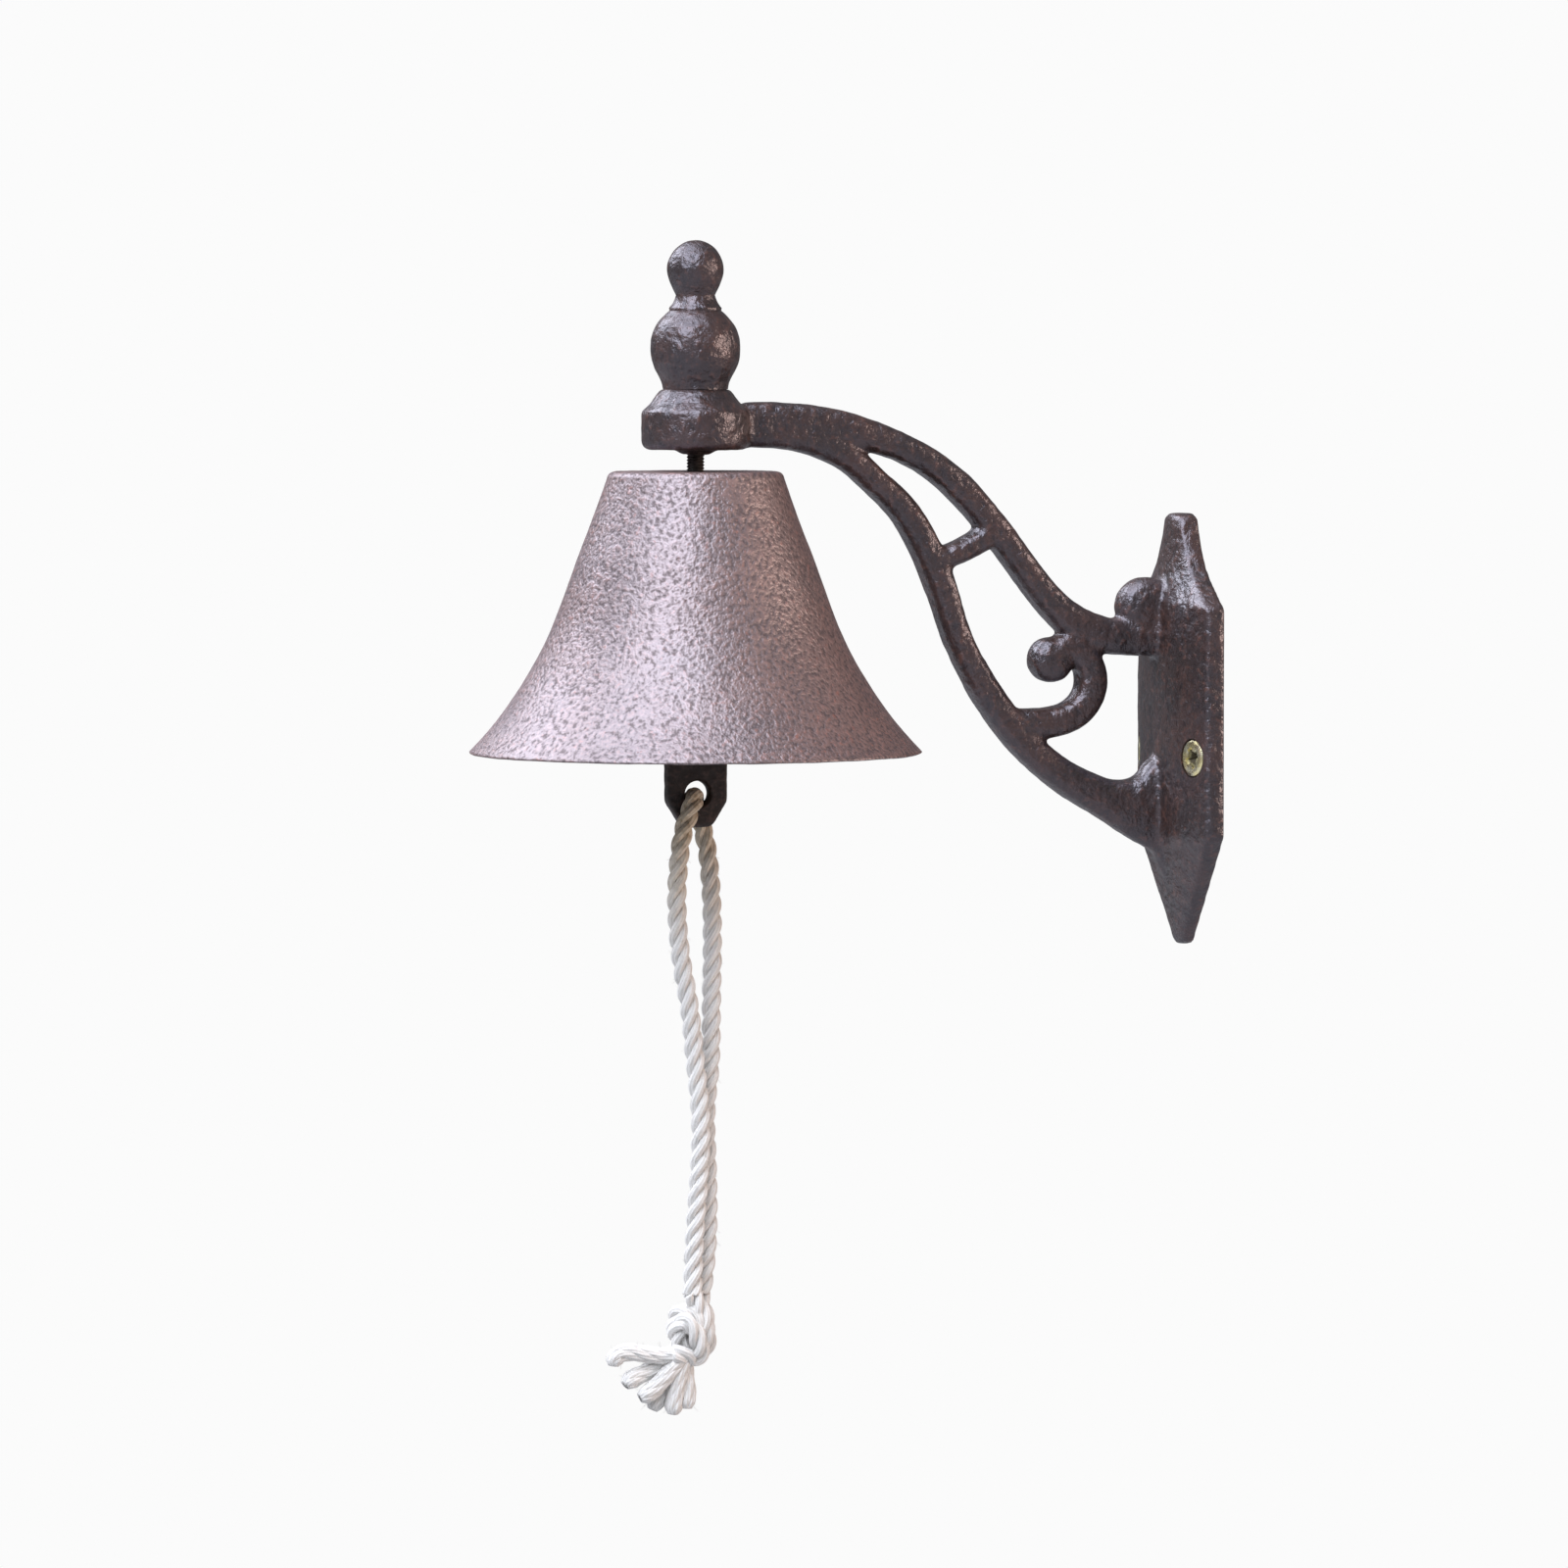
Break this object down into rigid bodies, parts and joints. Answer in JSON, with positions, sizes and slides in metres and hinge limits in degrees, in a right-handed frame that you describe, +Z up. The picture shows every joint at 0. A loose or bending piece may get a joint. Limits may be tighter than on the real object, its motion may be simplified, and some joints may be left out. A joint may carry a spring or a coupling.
{
  "type": "wall mounted bell",
  "caption": "Cast-iron bell hung from a scrollwork wall bracket with a turned finial, rung by a knotted cotton rope on its clapper.",
  "frame": {"origin": "middle of the wall plate's back face, midway between its two screws", "axes": "+Y out of the plate's back face, into the wall; -Y along the arm to the bell; +Z up"},
  "size_m": [0.1, 0.165, 0.26],
  "materials": {
    "painted_casting": "rough sand-cast iron with a dark rust-brown antique paint",
    "bell_casting": "grained cast iron with a rust-brown antique paint, thin and reddish on the high grain",
    "clapper_iron": "dark brown painted iron",
    "dark_steel": "dark oiled steel wire and hardware",
    "cotton_rope": "undyed twisted cotton, stained tan by the clapper",
    "yellow_zinc": "yellow zinc plated steel screws"
  },
  "bodies": {
    "bracket": {"bracket_casting": "painted_casting", "finial": "painted_casting", "hanger_bolt": "dark_steel", "bell_washer": "dark_steel", "bell_nut": "dark_steel", "wall_screws": "yellow_zinc"},
    "bell": {"bell": "bell_casting"},
    "link": {"clapper_link": "dark_steel"},
    "clapper": {"clapper": "clapper_iron"},
    "rope": {"rope_bight": "cotton_rope", "rope_near_leg": "cotton_rope", "rope_far_leg": "cotton_rope", "rope_knot": "cotton_rope", "rope_tassel": "cotton_rope"}
  },
  "joints": [
    {"name": "bell_spin", "type": "hinge", "parent": "bracket", "child": "bell", "pos_m": [0, -0.115, 0.0639], "axis": [0, 0, 1], "continuous": true},
    {"name": "link_swing", "type": "hinge", "parent": "bracket", "child": "link", "pos_m": [0, -0.115, 0.0485], "axis": [1, 0, 0], "range_deg": [-30, 30]},
    {"name": "clapper_swing", "type": "hinge", "parent": "link", "child": "clapper", "pos_m": [0, -0.115, 0.0365], "axis": [0, 1, 0], "range_deg": [-10, 10]},
    {"name": "rope_swing", "type": "hinge", "parent": "clapper", "child": "rope", "pos_m": [0, -0.115, -0.0072], "axis": [1, 0, 0], "range_deg": [-30, 6]}
  ]
}
